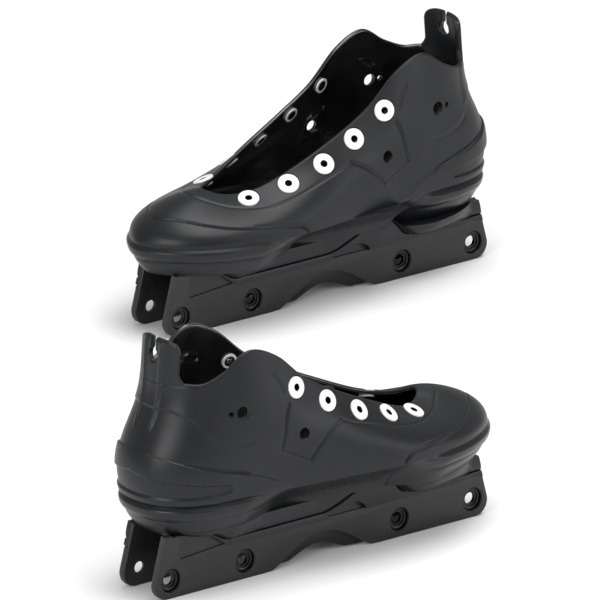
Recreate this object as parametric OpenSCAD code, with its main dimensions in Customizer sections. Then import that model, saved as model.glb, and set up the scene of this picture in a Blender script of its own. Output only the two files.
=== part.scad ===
// A pair of aggressive inline skate boots on their frames, bare of wheels,
// cuffs, liners and laces. Millimetres, +Z up, standing on the frame rails.
// Each skate is drawn once with its toe towards +X and its outer side towards -Y,
// and the left boot is the mirror image of the right one.

/* [Boot shell] */
// Length of the boot over the seam, heel to toe
boot_length = 292.5; // [280:0.5:330]
// Width of the boot over the seam at the ball of the foot
ball_width = 108; // [98:1:120]
// Height of the ankle wings above the ground
wing_height = 167.5; // [150:0.5:180]
// Height of the seam between sole and shell
seam_z = 66; // [62:1:70]
// Wall of the moulded shell
shell_wall = 3.4; // [2.8:0.1:4]
// Thickness of the shell's floor
floor_t = 4; // [3:0.5:6]
// Sideways lean of the toe towards the inner side of the foot
toe_lean = 1; // [0:0.5:6]
// Sideways lean of the heel towards the inner side of the foot
heel_lean = 3.5; // [0:0.5:5]

/* [Heel tab] */
// Height of the tab above the rim behind the heel
tab_height = 28.5; // [20:0.5:34]
// Reach of the tab to each side of the heel's middle, in stations of the form
tab_reach = 1.65; // [1.2:0.05:1.8]
// How far the tab leans forward at its top
tab_lean = 2; // [0:0.5:10]
// Diameter of the round end of the cuff slot
slot_d = 9.5; // [7:0.5:12]
// Width of the slot's open neck
slot_neck = 5; // [3:0.5:6]
// Depth of the slot's centre below the top of the tab
slot_depth = 12.5; // [9:0.5:16]

/* [Holes in the shell] */
// Diameter of the cuff pivot hole at the ankle
pivot_d = 8.5; // [6:0.5:12]
// Diameter of the index hole behind the pivot
index_d = 4; // [3:0.5:5]
// Distance between pivot and index hole
index_gap = 8.5; // [7:0.5:12]
// Diameter of the strap hole over the instep
strap_d = 8; // [6:0.5:10]

/* [Eyelets] */
// Number of eyelets on each side
eyelet_count = 5; // [1:1:5]
// Diameter of an eyelet's flange
eyelet_d = 15; // [12:0.5:16]
// Thickness of the flange
eyelet_t = 1.8; // [1.4:0.1:2.4]
// Outside diameter of an eyelet's barrel
barrel_d = 7.6; // [6:0.2:9]
// Diameter of the lace hole
lace_d = 4.6; // [3:0.2:5.4]
// Diameter of the washer inside the shell
washer_d = 11; // [9:0.5:13]
// Thickness of the washer inside the shell
washer_t = 1.2; // [0.8:0.1:1.6]

/* [Sole] */
// Height of the underside of the sole
sole_z = 44; // [42:1:46]
// How far the sole's underside is set in at the toe and heel
tip_inset = 9; // [6:0.5:16]
// How far it is set in along the sides
side_inset = 24; // [18:0.5:26]
// Swell of the bumper round the toe and heel
bumper_swell = 2.2; // [0:0.1:4]
// Half the length of the soul plates
plate_half = 45; // [38:1:52]
// Half the width of the core left between the soul plates
core_half = 20; // [17.5:0.5:22]

/* [Frame] */
// Distance from the middle to the inner axles
inner_axle = 65.9; // [62:0.1:68]
// Distance from the middle to the outer axles
outer_axle = 129; // [122:0.5:136]
// Height of the axles above the ground
axle_z = 12.8; // [11:0.1:16]
// Diameter of an axle
axle_d = 8; // [6:0.5:10]
// Width over the two walls
frame_width = 40; // [38:0.5:44]
// Thickness of a wall
wall_t = 5.5; // [4.5:0.5:7]
// Height of the ledge where the wall steps in
ledge_z = 28; // [26:0.5:31]
// Thickness of the upper wall, above the ledge
upper_wall_t = 2.5; // [2:0.1:3.5]
// Thickness of the deck under the boot
deck_t = 3.5; // [3:0.5:5]
// Radius of the rounded ends
end_r = 10.5; // [10:0.5:14]
// Half the span of the arched cut-out between the inner axles
arch_half = 44; // [36:1:48]
// Height of the arched cut-out
arch_z = 19; // [14:0.5:22]

/* [Axle inserts] */
// Diameter of the counterbore
insert_d = 15.5; // [12:0.5:17]
// Depth of the counterbore
insert_depth = 4; // [3:0.25:4.5]
// Thickness of the insert in it
insert_t = 1.8; // [1.6:0.1:3]

/* [Groove block] */
// Half the length of the block
block_half = 50; // [46:1:54]
// Height of the block's top
block_top = 21; // [18:0.5:24]
// How far its two runners reach below the rails
runner_drop = 0; // [0:0.5:1]
// Distance from the middle to a runner
runner_x = 31; // [26:1:36]
// Height of the groove between the runners
groove_z = 9; // [5:0.5:12]

/* [Frame bolts] */
// Distance between the two frame bolts
bolt_spacing = 167; // [160:1:170]
// Diameter of a frame bolt
bolt_d = 8; // [6:1:8]
// Diameter of its head
bolt_head_d = 13; // [12:0.5:14]
// Height of its head
bolt_head_t = 5; // [4:0.5:6]
// Diameter of the washer under the head
bolt_washer_d = 17; // [15:0.5:20]
// Thickness of the washer under the head
bolt_washer_t = 1.6; // [1:0.1:2]
// Diameter of the flange nut in the boot
nut_d = 20; // [18:0.5:24]
// Thickness of its flange
nut_t = 1.6; // [1.2:0.1:2.4]
// Outside diameter of its barrel
nut_barrel_d = 11; // [10:0.5:13]
// Length of its barrel
nut_barrel_l = 16; // [12:0.5:22]

/* [Small screws] */
// Diameter of a screw
screw_d = 4; // [3:0.5:4]
// Diameter of its head
screw_head_d = 7.5; // [6:0.5:8]
// Height of its head
screw_head_t = 2.5; // [2:0.1:3]

/* [Placing] */
// Distance between the two skates along X
pair_x = 331; // [0:0.5:400]
// Distance between the two skates along Y
pair_y = 411; // [130:1:520]

/* [Hidden] */
PIECES = ["shell", "sole", "outer_soul_plate", "inner_soul_plate",
    "frame", "groove_block", "outer_axle_inserts", "inner_axle_inserts",
    "outer_eyelets", "inner_eyelets", "outer_eyelet_washers", "inner_eyelet_washers",
    "frame_bolts", "frame_bolt_washers", "flange_nuts",
    "soul_plate_screws", "groove_block_screws"];
SAME_ON_BOTH = ["outer_soul_plate", "inner_soul_plate", "frame", "groove_block",
    "outer_axle_inserts", "inner_axle_inserts", "frame_bolts", "frame_bolt_washers",
    "flange_nuts", "groove_block_screws"];

round_fn = 48;     // facets of a true circle
cut = 1;           // how far a cutting body runs past what it cuts
play = 0.3;        // clearance round a piece that drops into a hole

// The boot's form: one row for each station from the middle of the heel to the
// middle of the toe: seam x, seam y, rim x, rim y, rim z, the rim's lean from
// upright in degrees, and the swell of the wall above the seam. They are drawn
// for the boot below and scaled to the one that is set.
drawn_length = 292.5;
drawn_width = 108;
drawn_seam_z = 66;
drawn_wing_z = 167.5;
STATIONS = [
    [-141.5, 0,  -126.5, 0,    149.5,  0, 15],
    [-138,  18,  -124.5, 13,   149.5,  1, 13],
    [-126,  32,  -118,   23.5, 149.5,  3, 9],
    [-107,  39.5, -107,  30.5, 149.5,  6, 5],
    [-84,   41.5, -92.5, 34,   156,    8, 4],
    [-62,   42.5, -73,   35,   167.5,  8, 4],
    [-38,   44,  -50,    35,   159,    9, 3],
    [-12,   47,  -25,    34,   137.5,  15, 2],
    [16,    51,   4,     32.5, 121.5,  28, 2],
    [46,    54,   34,    29.5, 107.5,  40, 3],
    [77,    52,   60,    24,   96.5,   55, 4],
    [106,   45,   76,    17.5, 92.5,   68, 4],
    [130,   32,   87,    10.5, 92.5,   78, 3],
    [145,   16,   93,    5,    94.5,   84, 2],
    [151,   0,    95,    0,    95.5,   86, 1]];
low_reach = 0.45;  // the wall's handle above the seam, as a share of its height
rim_reach = 0.4;   // the wall's handle below the rim, as a share of its length
last = len(STATIONS) - 1;
rows = 12;         // facets up the wall
per_station = 2;   // facets between two stations
columns = 2 * last * per_station;

kx = boot_length / drawn_length;
ky = ball_width / drawn_width;
kz = (wing_height - seam_z) / (drawn_wing_z - drawn_seam_z);

function flip_y(r) = [r[0], -r[1], r[2], -r[3], r[4], r[5], r[6]];
function station(i) = i < 0 ? flip_y(STATIONS[-i])
    : i > last ? flip_y(STATIONS[2 * last - i]) : STATIONS[i];
// Smooth row through the stations, for any share of the way between two
function smooth_row(p0, p1, p2, p3, t) =
    0.5 * (2 * p1 + (p2 - p0) * t + (2 * p0 - 5 * p1 + 4 * p2 - p3) * t * t
        + (3 * p1 - p0 - 3 * p2 + p3) * t * t * t);
function row_at(c) = let (i = min(floor(c), last - 1))
    smooth_row(station(i - 1), station(i), station(i + 1), station(i + 2), c - i);
// c runs from -last at the toe, over 0 at the heel, to last at the toe again
function raw_at(c) = c < 0 ? flip_y(row_at(-c)) : row_at(c);
function lean_in(x) = (x < 0 ? heel_lean : toe_lean) * pow(x / drawn_length * 2, 2);
function seam_at(c) = let (r = raw_at(c)) [kx * r[0], ky * r[1] + lean_in(r[0])];
function rim_at(c) = let (r = raw_at(c))
    [kx * r[2], ky * r[3] + lean_in(r[2]), seam_z + kz * (r[4] - drawn_seam_z)];
nudge = 0.02;
function unit(v) = v / norm(v);
function along(c) = let (d = raw_at(c + nudge) - raw_at(c - nudge)) unit([d[0], d[1]]);
function wrap(c) = c > last ? c - 2 * last : c < -last ? c + 2 * last : c;
function out_at(c) = let (a = abs(c) > last - nudge ? [0, -1] : along(c)) [-a[1], a[0], 0];

function bezier(p, t) = pow(1 - t, 3) * p[0] + 3 * t * pow(1 - t, 2) * p[1]
    + 3 * t * t * (1 - t) * p[2] + pow(t, 3) * p[3];
// Handles of the wall's section at c: outer face for depth 0, inner for the wall
function section(c, depth) = let (
    r = raw_at(c), n = out_at(c), rim = rim_at(c), s = seam_at(c),
    up = [0, 0, 1], reach = rim_reach * norm(rim - [s[0], s[1], seam_z]),
    down = n * sin(r[5]) - up * cos(r[5]), inward = -n * cos(r[5]) - up * sin(r[5]),
    base = [s[0], s[1], seam_z + (depth > 0 ? floor_t : 0)] - n * depth,
    low = [s[0], s[1], seam_z + low_reach * (rim[2] - seam_z)] + n * (r[6] - depth),
    top = rim + inward * depth)
    [base, low, top + down * reach, top];
function wall_at(c, v) = bezier(section(c, 0), v);
// Outward direction of the outer face
function face_at(c, v) = let (
    dc = wall_at(c + nudge, v) - wall_at(c - nudge, v),
    dv = wall_at(c, v + nudge) - wall_at(c, v - nudge))
    unit(cross(dv, dc));

// Turns and moves its children so that +Z is the outward direction at (c, v)
module on_wall(c, v) {
    p = wall_at(c, v);
    n = face_at(c, v);
    translate(p)
        rotate([0, acos(n[2]), atan2(n[1], n[0])])
            children();
}

// Two ringed faces joined at the top and closed by two floors
module wall_skin() {
    ring = [for (i = [0:columns - 1]) wrap(-last + i / per_station)];
    outer = [for (j = [0:rows]) for (c = ring) bezier(section(c, 0), j / rows)];
    inner = [for (j = [0:rows]) for (c = ring) bezier(section(c, shell_wall), j / rows)];
    n = columns;
    m = n * (rows + 1);
    low_mid = 2 * m;
    top_mid = 2 * m + 1;
    function quads(start, flip) = [for (j = [0:rows - 1]) for (i = [0:n - 1]) let (
        k = (i + 1) % n, a = start + j * n + i, b = start + j * n + k,
        d = a + n, e = b + n)
        each flip ? [[b, a, e], [e, a, d]] : [[a, b, e], [a, e, d]]];
    rim_faces = [for (i = [0:n - 1]) let (k = (i + 1) % n, t = rows * n)
        each [[m + t + i, t + i, t + k], [m + t + i, t + k, m + t + k]]];
    floors = [for (i = [0:n - 1]) let (k = (i + 1) % n)
        each [[low_mid, k, i], [top_mid, m + i, m + k]]];
    polyhedron(concat(outer, inner, [[0, 0, seam_z], [0, 0, seam_z + floor_t]]),
        concat(quads(0, false), quads(m, true), rim_faces, floors));
}

// Plate that carries on above the rim behind the heel
tab_steps = 12;
tab_sink = 7;      // how far it runs down inside the shell's wall
tab_proud = 0.4;   // how far it stands proud of the wall on both faces
tab_corner = 5;    // drop of its rounded top corners
function tab_point(k, high, out) = let (
    c = k / tab_steps * tab_reach, n = out_at(c), rim = rim_at(c),
    side = abs(k) / tab_steps,
    rise = high ? tab_height - tab_corner * pow(side, 4) : -tab_sink,
    shift = out ? tab_proud : -shell_wall - tab_proud)
    rim + n * shift + [high ? tab_lean : 0, 0, rise];
module heel_tab() {
    n = 2 * tab_steps + 1;
    pts = [for (out = [true, false]) for (high = [false, true])
        for (k = [-tab_steps:tab_steps]) tab_point(k, high, out)];
    function strip(a, b) = [for (i = [0:n - 2])
        each [[a + i, a + i + 1, b + i], [b + i, a + i + 1, b + i + 1]]];
    ends = [[0, n, 2 * n], [2 * n, n, 3 * n],
        [n - 1, 3 * n - 1, 2 * n - 1], [3 * n - 1, 4 * n - 1, 2 * n - 1]];
    polyhedron(pts, concat(strip(0, n), strip(n, 3 * n), strip(3 * n, 2 * n),
        strip(2 * n, 0), ends));
}

slot_z = seam_z + kz * (STATIONS[0][4] - drawn_seam_z) + tab_height - slot_depth;
slot_run = 30;     // length of the body that cuts the slot
module cuff_slot() {
    back = kx * STATIONS[0][2] - slot_run / 3;
    translate([back, heel_lean, slot_z])
        rotate([0, 90, 0])
            cylinder(d = slot_d, h = slot_run, $fn = round_fn);
    translate([back, heel_lean - slot_neck / 2, slot_z])
        cube([slot_run, slot_neck, slot_depth + cut]);
}

// Holes, as [station, share of the wall's height]; the sign of the station is the side
PIVOT = [4.38, 0.64];
STRAP = [6.33, 0.39];
EYELETS = [[6.55, 0.85], [7.54, 0.86], [8.43, 0.83], [9.38, 0.85], [10.68, 0.88]];
through = 20;      // length of a body that bores one wall
module pivot_holes() {
    p = wall_at(PIVOT[0], PIVOT[1]);
    translate([p[0], 0, p[2]])
        rotate([90, 0, 0]) {
            cylinder(d = pivot_d, h = 2 * ball_width, center = true, $fn = round_fn);
            translate([-index_gap, 0, 0])
                cylinder(d = index_d, h = 2 * ball_width, center = true, $fn = round_fn);
        }
}
module strap_hole(s) {
    on_wall(s * STRAP[0], STRAP[1])
        cylinder(d = strap_d, h = through, center = true, $fn = round_fn);
}

// Seat of an eyelet: a flat outside for the flange and one inside for the washer
seat_depth = 0.9;
seat_run = 5;      // length of the bodies that cut the flats
module eyelet_seat() {
    translate([0, 0, -seat_depth])
        cylinder(d = eyelet_d + 2 * play, h = seat_run, $fn = round_fn);
    cylinder(d = barrel_d + 2 * play, h = through, center = true, $fn = round_fn);
    translate([0, 0, -shell_wall - seat_run])
        cylinder(d = washer_d + 2 * play, h = seat_run, $fn = round_fn);
}
module eyelet() {
    difference() {
        union() {
            translate([0, 0, -seat_depth])
                cylinder(d = eyelet_d, h = eyelet_t, $fn = round_fn);
            translate([0, 0, -shell_wall - washer_t])
                cylinder(d = barrel_d, h = shell_wall + washer_t, $fn = round_fn);
        }
        cylinder(d = lace_d, h = through, center = true, $fn = round_fn);
    }
}
module eyelet_washer() {
    translate([0, 0, -shell_wall - washer_t])
        difference() {
            cylinder(d = washer_d, h = washer_t, $fn = round_fn);
            translate([0, 0, -cut])
                cylinder(d = barrel_d, h = washer_t + 2 * cut, $fn = round_fn);
        }
}
module at_eyelets(s) {
    for (i = [0:eyelet_count - 1])
        on_wall(s * EYELETS[i][0], EYELETS[i][1])
            children();
}

module eyelets(s) {
    color("#f2f2f0")
        at_eyelets(s)
            eyelet();
}
module eyelet_washers(s) {
    color("#e8e8e6")
        at_eyelets(s)
            eyelet_washer();
}

module at_bolts() {
    for (s = [-1, 1])
        translate([s * bolt_spacing / 2, 0, 0])
            children();
}

module shell() {
    color("#2e2f33")
        difference() {
            union() {
                wall_skin();
                heel_tab();
            }
            cuff_slot();
            pivot_holes();
            for (s = [-1, 1]) {
                strap_hole(s);
                at_eyelets(s)
                    eyelet_seat();
            }
            at_bolts()
                translate([0, 0, seam_z - cut])
                    cylinder(d = nut_barrel_d, h = floor_t + 2 * cut, $fn = round_fn);
        }
}

// Sole: its top is the seam's outline, its underside is set in from it
sole_rows = 4;
waist_end = 35;    // the dished waist reaches this far from the middle
tip_start = 85;    // and the full round of the tips starts here
dish_bend = 0.9;   // the inset's growth downwards: hollow at the waist,
tip_bend = 2.4;    // round at the tips
// 1 at the waist, 0 at the tips
function waist_at(c) = let (
    t = min(1, max(0, (abs(seam_at(c)[0]) - waist_end) / (tip_start - waist_end))))
    1 - t * t * (3 - 2 * t);
function sole_point(c, t) = let (s = seam_at(c), n = out_at(c), w = waist_at(c),
    inset = tip_inset + (side_inset - tip_inset) * w,
    bend = tip_bend + (dish_bend - tip_bend) * w)
    [s[0], s[1], seam_z + (sole_z - seam_z) * t]
        + n * (bumper_swell * (1 - w) * sin(180 * min(1, 2 * t)) - inset * pow(t, bend));
module sole_blank() {
    ring = [for (i = [0:columns - 1]) wrap(-last + i / per_station)];
    n = columns;
    m = n * (sole_rows + 1);
    pts = [for (j = [0:sole_rows]) for (c = ring) sole_point(c, j / sole_rows)];
    sides = [for (j = [0:sole_rows - 1]) for (i = [0:n - 1]) let (
        k = (i + 1) % n, a = j * n + i, b = j * n + k, d = a + n, e = b + n)
        each [[b, a, e], [e, a, d]]];
    caps = [for (i = [0:n - 1]) let (k = (i + 1) % n, t = sole_rows * n)
        each [[m, i, k], [m + 1, t + k, t + i]]];
    polyhedron(concat(pts, [[0, 0, seam_z], [0, 0, sole_z]]), concat(sides, caps));
}
plate_reach = ball_width;
module plate_zone(s) {
    translate([-plate_half, s > 0 ? core_half : -core_half - plate_reach, sole_z - cut])
        cube([2 * plate_half, plate_reach, seam_z - sole_z + 2 * cut]);
}
module sole() {
    color("#303135")
        difference() {
            sole_blank();
            plate_zone(1);
            plate_zone(-1);
            at_bolts()
                translate([0, 0, sole_z - cut])
                    cylinder(d = nut_barrel_d, h = seam_z - sole_z + 2 * cut, $fn = round_fn);
            for (s = [-1, 1])
                at_plate_screws(s)
                    cylinder(d = screw_d, h = screw_length, $fn = round_fn);
        }
}

// Soul plate of the -Y side: the dished middle of the sole and the skirt under it,
// which sits on the frame's ledge and covers its upper wall
skirt_half = frame_width / 2 + 2;
skirt_in = frame_width / 2 - wall_t + upper_wall_t + play;
skirt_back = -80;
skirt_reach = 134;  // the flare over it ends here
skirt_ramp = 20;   // length of the slant at its back
skirt_edge = 2;    // height of its back edge
lip_z = 5;         // band along its lower edge
lip_out = 1.5;
hump_x = 33;       // rounded hump on it, above a notch in its lower edge
hump_half = 31;
hump_out = 5;
hump_lift = 1;
hump_bend = 1.2;
notch_x = 18;
notch_half = 17;
notch_top = 9;
notch_deep = 3;
module xz(y0, y1) {
    translate([0, y1, 0])
        rotate([90, 0, 0])
            linear_extrude(y1 - y0)
                children();
}
flare_back = -112;
flare_z = 39.5;
flare_out = 12;
module flare() {
    intersection() {
        sole_shadow();
        translate([flare_back, 0, 0])
            rotate([90, 0, 90])
                linear_extrude(skirt_reach - flare_back)
                    polygon([[-skirt_half, ledge_z + lip_z], [-skirt_half, sole_z],
                        [-skirt_half - 2 * flare_out, sole_z],
                        [-skirt_half - flare_out, flare_z]]);
    }
}
// The underside's outline, drawn down to the skirt's edge
module sole_shadow() {
    translate([0, 0, ledge_z])
        linear_extrude(sole_z - ledge_z)
            polygon([for (i = [0:columns - 1])
                let (p = sole_point(wrap(-last + i / per_station), 1)) [p[0], p[1]]]);
}
module skirt() {
    rise = sole_z - ledge_z - hump_lift;
    difference() {
        union() {
            xz(-skirt_half, -skirt_in)
                intersection() {
                    frame_hull();
                    polygon([[skirt_back, ledge_z], [far_x, ledge_z], [far_x, sole_z],
                        [skirt_back - skirt_ramp, sole_z],
                        [skirt_back - skirt_ramp, sole_z - skirt_edge]]);
                }
            xz(-skirt_half - lip_out, -skirt_half)
                intersection() {
                    frame_hull();
                    polygon([[skirt_back, ledge_z], [far_x, ledge_z],
                        [far_x, ledge_z + lip_z],
                        [skirt_back - skirt_ramp / 3, ledge_z + lip_z]]);
                }
            // the underside of the sole flares out of the skirt
            flare();
            xz(-skirt_half - hump_out, -skirt_half)
                polygon([for (a = [0:10:180]) [hump_x - hump_half * cos(a),
                    ledge_z + hump_lift + rise * pow(sin(a), hump_bend)]]);
        }
        xz(-skirt_half - hump_out - cut, -skirt_half + notch_deep)
            polygon([for (a = [0:15:180])
                [notch_x - notch_half * cos(a), ledge_z - cut + (notch_top + cut) * sin(a)]]);
    }
}
plate_screw_x = 30;
screw_length = 12;
screw_start = 1.5;  // plate left under the screw's head
plate_screw_z = (seam_z + sole_z) / 2;
// Screws that run in from the plate's hollow towards the core
module at_plate_screws(s) {
    for (x = [-plate_screw_x, plate_screw_x])
        translate([x, s * (core_half + screw_start), plate_screw_z])
            rotate([s * 90, 0, 0])
                children();
}
module plate_body() {
    color("#37383c")
        difference() {
            union() {
                intersection() {
                    sole_blank();
                    plate_zone(-1);
                }
                skirt();
            }
            for (x = [-plate_screw_x, plate_screw_x])
                translate([x, -core_half + cut, plate_screw_z])
                    rotate([90, 0, 0]) {
                        cylinder(d = screw_d, h = 2 * plate_reach, $fn = round_fn);
                        translate([0, 0, screw_start + cut])
                            cylinder(d = screw_head_d + play, h = plate_reach, $fn = round_fn);
                    }
        }
}

// Frame: one wall is drawn on -Y and turned half round for the other
wall_out = frame_width / 2;
wall_in = wall_out - wall_t;
tie_inset = 4;     // the deck ends this far before the axles, the web before the block
deck_half = outer_axle - tie_inset;
web_half = block_half - tie_inset;
end_x = outer_axle + 2.5;
end_top_x = end_x + 2;
far_x = outer_axle + 30;
post_x = skirt_back - 22;
post_gap = 1;      // between the skirt's back edge and the end post
recess_x = outer_axle - 8;
recess_deep = 1;
arch_bend = 1.3;   // above 1 draws the arch out into the rails
AXLES = [-outer_axle, -inner_axle, inner_axle, outer_axle];
module frame_hull() {
    hull() {
        for (s = [-1, 1])
            translate([s * end_x, end_r])
                circle(r = end_r, $fn = 64);
        translate([-end_top_x, sole_z - cut])
            square([2 * end_top_x, cut]);
    }
}
module frame_outline() {
    difference() {
        frame_hull();
        arch_cut();
    }
}
module arch_cut() {
    polygon([for (a = [0:7.5:180]) let (s = cos(a))
        [-arch_half * s, -cut + (arch_z + cut) * pow(cos(90 * s), arch_bend)]]);
}
module frame_wall() {
    difference() {
        xz(-wall_out, -wall_in)
            frame_outline();
        // the wall steps in above the ledge, up to the end post
        xz(-wall_out - cut, -wall_in - upper_wall_t)
            polygon([[skirt_back, ledge_z], [far_x, ledge_z],
                [far_x, sole_z + cut], [post_x + post_gap, sole_z + cut],
                [post_x + post_gap, sole_z - skirt_edge]]);
        // shallow recess beside the end post
        xz(-wall_out - cut, -wall_out + recess_deep)
            polygon([[-recess_x, ledge_z - 2], [skirt_back - 2, ledge_z + 1],
                [post_x, sole_z + cut], [-recess_x, sole_z + cut]]);
        for (x = AXLES)
            translate([x, 0, axle_z])
                rotate([90, 0, 0]) {
                    cylinder(d = axle_d, h = wall_out + cut, $fn = round_fn);
                    translate([0, 0, wall_out - insert_depth])
                        cylinder(d = insert_d, h = insert_depth + cut, $fn = round_fn);
                }
    }
}
module frame() {
    color("#3a3a3c")
        difference() {
            union() {
                frame_wall();
                rotate([0, 0, 180])
                    frame_wall();
                translate([-deck_half, -wall_in, sole_z - deck_t])
                    cube([2 * deck_half, 2 * wall_in, deck_t]);
                translate([-web_half, -wall_in, block_top])
                    cube([2 * web_half, 2 * wall_in, sole_z - block_top]);
            }
            at_bolts()
                translate([0, 0, sole_z - deck_t - cut])
                    cylinder(d = bolt_d + 2 * play, h = deck_t + 2 * cut, $fn = round_fn);
            for (s = [-1, 1])
                translate([s * runner_x, 0, block_top - cut])
                    cylinder(d = screw_d, h = block_screw_in + cut, $fn = round_fn);
        }
}
step_d = axle_d + 3.5;
step_deep = 1;
module axle_inserts(s) {
    color("#141416")
        for (x = AXLES)
            translate([x, s * (wall_out - insert_depth), axle_z])
                rotate([-s * 90, 0, 0])
                    difference() {
                        cylinder(d = insert_d, h = insert_t, $fn = round_fn);
                        translate([0, 0, -cut])
                            cylinder(d = axle_d, h = insert_t + 2 * cut, $fn = round_fn);
                        translate([0, 0, insert_t - step_deep])
                            cylinder(d = step_d, h = step_deep + cut, $fn = round_fn);
                    }
}

block_gap = 0.2;
block_seat = 8;    // depth of the screws' seats from below
block_screw_in = 8;
block_floor = 1.5; // height of the runners above the rails, less their drop
groove_share = 0.8;
groove_bend = 1.2;
runner_half = 9;   // each runner is nearly flat this far to its outer side
runner_rise = 1;
block_end_rise = 5;
module block_outline() {
    drop = block_floor - runner_drop;
    groove_half = groove_share * runner_x;
    function runner(s) = [[s * runner_x, drop], [s * (runner_x + runner_half), drop + runner_rise],
        [s * block_half, drop + block_end_rise], [s * block_half, block_top]];
    left = runner(-1);
    groove = [for (a = [0:10:180]) let (s = cos(a))
        [-groove_half * s, drop + (groove_z - drop) * pow(cos(90 * s), groove_bend)]];
    polygon(concat([for (i = [3:-1:0]) left[i]], groove, runner(1)));
}
module groove_block() {
    color("#121214")
        difference() {
            xz(-wall_in + block_gap, wall_in - block_gap)
                block_outline();
            for (s = [-1, 1])
                translate([s * runner_x, 0, 0]) {
                    cylinder(d = screw_d + 2 * play, h = block_top + cut, $fn = round_fn);
                    translate([0, 0, -cut])
                        cylinder(d = screw_head_d + 2 * play, h = block_seat + cut, $fn = round_fn);
                }
        }
}
module groove_block_screws() {
    color("#8a8b8e")
        for (s = [-1, 1])
            translate([s * runner_x, 0, block_seat])
                screw(block_top - block_seat + block_screw_in);
}
module screw(length) {
    cylinder(d = screw_d, h = length, $fn = round_fn);
    translate([0, 0, -screw_head_t])
        difference() {
            cylinder(d = screw_head_d, h = screw_head_t, $fn = round_fn);
            translate([0, 0, -cut])
                cylinder(d = screw_d, h = 2 * cut, $fn = 6);
        }
}

bolt_under = sole_z - deck_t - bolt_washer_t;
nut_top = seam_z + floor_t;
bolt_end = nut_top - 2;
bolt_key = 0.8;    // the head's socket, as a share of the bolt's diameter
module frame_bolt() {
    cylinder(d = bolt_d, h = bolt_end - bolt_under, $fn = round_fn);
    translate([0, 0, -bolt_head_t])
        difference() {
            cylinder(d = bolt_head_d, h = bolt_head_t, $fn = round_fn);
            translate([0, 0, -cut])
                cylinder(d = bolt_key * bolt_d, h = bolt_head_t / 2 + cut, $fn = 6);
        }
}
module flange_nut() {
    difference() {
        union() {
            translate([0, 0, nut_top])
                cylinder(d = nut_d, h = nut_t, $fn = round_fn);
            translate([0, 0, nut_top - nut_barrel_l])
                cylinder(d = nut_barrel_d, h = nut_barrel_l, $fn = round_fn);
        }
        translate([0, 0, nut_top - nut_barrel_l - cut])
            cylinder(d = bolt_d, h = nut_barrel_l + nut_t + 2 * cut, $fn = round_fn);
    }
}

module frame_bolts() {
    color("#8a8b8e")
        at_bolts()
            translate([0, 0, bolt_under])
                frame_bolt();
}
module frame_bolt_washers() {
    color("#9b9c9f")
        at_bolts()
            translate([0, 0, bolt_under])
                difference() {
                    cylinder(d = bolt_washer_d, h = bolt_washer_t, $fn = round_fn);
                    translate([0, 0, -cut])
                        cylinder(d = bolt_d, h = bolt_washer_t + 2 * cut, $fn = round_fn);
                }
}
module flange_nuts() {
    color("#8a8b8e")
        at_bolts()
            flange_nut();
}
module soul_plate_screws() {
    color("#8a8b8e")
        for (s = [-1, 1])
            at_plate_screws(s)
                screw(screw_length);
}

// One piece of one skate, by its plain name
module piece(name) {
    if (name == "shell") shell();
    if (name == "sole") sole();
    if (name == "outer_soul_plate") plate_body();
    if (name == "inner_soul_plate") rotate([0, 0, 180]) plate_body();
    if (name == "frame") frame();
    if (name == "groove_block") groove_block();
    if (name == "outer_axle_inserts") axle_inserts(-1);
    if (name == "inner_axle_inserts") axle_inserts(1);
    if (name == "outer_eyelets") eyelets(-1);
    if (name == "inner_eyelets") eyelets(1);
    if (name == "outer_eyelet_washers") eyelet_washers(-1);
    if (name == "inner_eyelet_washers") eyelet_washers(1);
    if (name == "frame_bolts") frame_bolts();
    if (name == "frame_bolt_washers") frame_bolt_washers();
    if (name == "flange_nuts") flange_nuts();
    if (name == "soul_plate_screws") soul_plate_screws();
    if (name == "groove_block_screws") groove_block_screws();
}

module right_skate() {
    translate([-pair_x / 2, -pair_y / 2, 0])
        children();
}
module left_skate() {
    translate([pair_x / 2, pair_y / 2, 0])
        children();
}

// The boot of the left skate is mirrored; the parts under it are the same on both
module left_piece(name) {
    if (search([name], SAME_ON_BOTH)[0] == [])
        mirror([1, 0, 0]) piece(name);
    else
        piece(name);
}

for (p = PIECES) {
    right_skate() piece(p);
    left_skate() left_piece(p);
}
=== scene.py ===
"""A pair of bare aggressive inline skate boots on their frames, rendered round the
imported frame. Every piece is drawn once for the right skate, in millimetres, with the
toe towards +X and the outer side towards -Y, and then set on both skates."""

import math

import bpy
import numpy as np
from mathutils import Matrix, Vector


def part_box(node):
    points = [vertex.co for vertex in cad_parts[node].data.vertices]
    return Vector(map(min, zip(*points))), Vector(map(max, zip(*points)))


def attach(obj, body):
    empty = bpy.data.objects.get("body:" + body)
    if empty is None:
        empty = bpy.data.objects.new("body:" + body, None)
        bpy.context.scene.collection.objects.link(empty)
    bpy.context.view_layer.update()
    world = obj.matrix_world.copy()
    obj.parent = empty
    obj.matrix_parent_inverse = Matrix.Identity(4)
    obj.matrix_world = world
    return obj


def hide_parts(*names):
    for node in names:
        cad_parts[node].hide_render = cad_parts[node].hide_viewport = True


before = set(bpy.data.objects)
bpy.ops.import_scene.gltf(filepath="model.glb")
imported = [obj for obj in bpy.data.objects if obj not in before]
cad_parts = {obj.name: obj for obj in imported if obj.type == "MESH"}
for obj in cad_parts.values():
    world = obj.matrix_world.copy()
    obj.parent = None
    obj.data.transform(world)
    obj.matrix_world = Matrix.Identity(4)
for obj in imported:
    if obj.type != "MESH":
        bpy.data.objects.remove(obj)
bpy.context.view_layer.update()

MM = 0.001
UP = np.array([0.0, 0.0, 1.0])

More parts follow.
